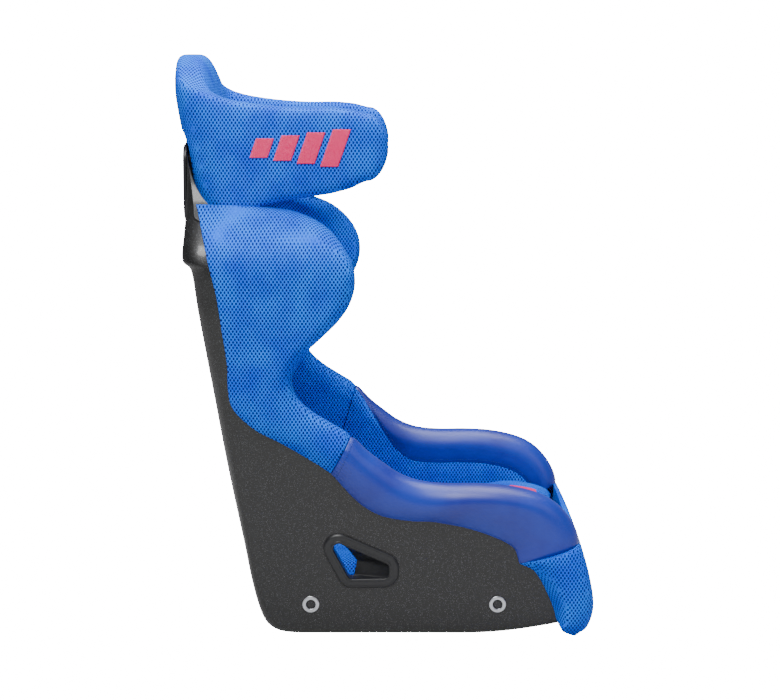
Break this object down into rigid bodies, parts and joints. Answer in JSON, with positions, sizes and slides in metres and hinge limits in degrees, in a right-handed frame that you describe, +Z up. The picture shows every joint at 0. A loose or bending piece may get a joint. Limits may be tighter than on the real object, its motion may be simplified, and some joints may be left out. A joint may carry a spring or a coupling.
{
  "type": "racing seat",
  "caption": "Fixed-back racing bucket seat with a glass-fibre shell, glued bolsters, a winged head restraint, harness slots, side mounting inserts and lift-off cushions.",
  "frame": {"origin": "on the floor, under the middle of the seat's bounding box", "axes": "+X the way the occupant faces, +Y the occupant's left, +Z up"},
  "size_m": [0.6588, 0.5254, 0.891],
  "materials": {
    "gelcoat": "black gelcoat over glass fibre, with fine silver flake",
    "spacer_mesh": "royal-blue knitted spacer mesh",
    "smooth_vinyl": "smooth blue coated cloth with a fine grain",
    "foam": "moulded polyurethane foam",
    "black_plastic": "satin black moulded plastic",
    "black_steel": "blackened steel backing plates",
    "bright_steel": "bright zinc-plated steel",
    "hook_and_loop": "black hook-and-loop tape"
  },
  "bodies": {
    "seat": {"shell": "gelcoat", "halo_foam": "foam", "halo_cover": "spacer_mesh", "torso_foam_right": "foam", "torso_foam_left": "foam", "torso_cover_right": "spacer_mesh", "torso_cover_left": "spacer_mesh", "thigh_foam_right": "foam", "thigh_foam_left": "foam", "thigh_cover_right": "smooth_vinyl", "thigh_cover_left": "smooth_vinyl", "hip_panel_right": "spacer_mesh", "hip_panel_left": "spacer_mesh", "nose_foam": "foam", "nose_cover": "spacer_mesh", "base_foam": "foam", "back_foam": "foam", "back_panel": "spacer_mesh", "lap_bezel_right": "black_plastic", "lap_bezel_left": "black_plastic", "shoulder_bezel_rear_right": "black_plastic", "shoulder_bezel_rear_left": "black_plastic", "shoulder_bezel_front_right": "black_plastic", "shoulder_bezel_front_left": "black_plastic", "crotch_bezel": "black_plastic", "mount_inserts": "bright_steel", "mount_plates": "black_steel", "loop_strips": "hook_and_loop"},
    "seat_cushion": {"seat_cushion_foam": "foam", "seat_cushion_cover": "spacer_mesh", "seat_hook_strips": "hook_and_loop"},
    "back_cushion": {"back_cushion_foam": "foam", "back_cushion_cover": "spacer_mesh", "back_hook_strips": "hook_and_loop"},
    "head_cushion": {"head_cushion_foam": "foam", "head_cushion_cover": "spacer_mesh", "head_hook_strips": "hook_and_loop"}
  },
  "joints": [
    {"name": "seat_cushion_lift", "type": "slide", "parent": "seat", "child": "seat_cushion", "axis": [0.1045, 0, 0.9945], "range_m": [0, 0.025]},
    {"name": "back_cushion_lift", "type": "slide", "parent": "seat", "child": "back_cushion", "axis": [0.9848, 0, 0.1736], "range_m": [0, 0.05]},
    {"name": "head_cushion_lift", "type": "slide", "parent": "seat", "child": "head_cushion", "axis": [0.9806, 0, 0.1961], "range_m": [0, 0.06]}
  ]
}
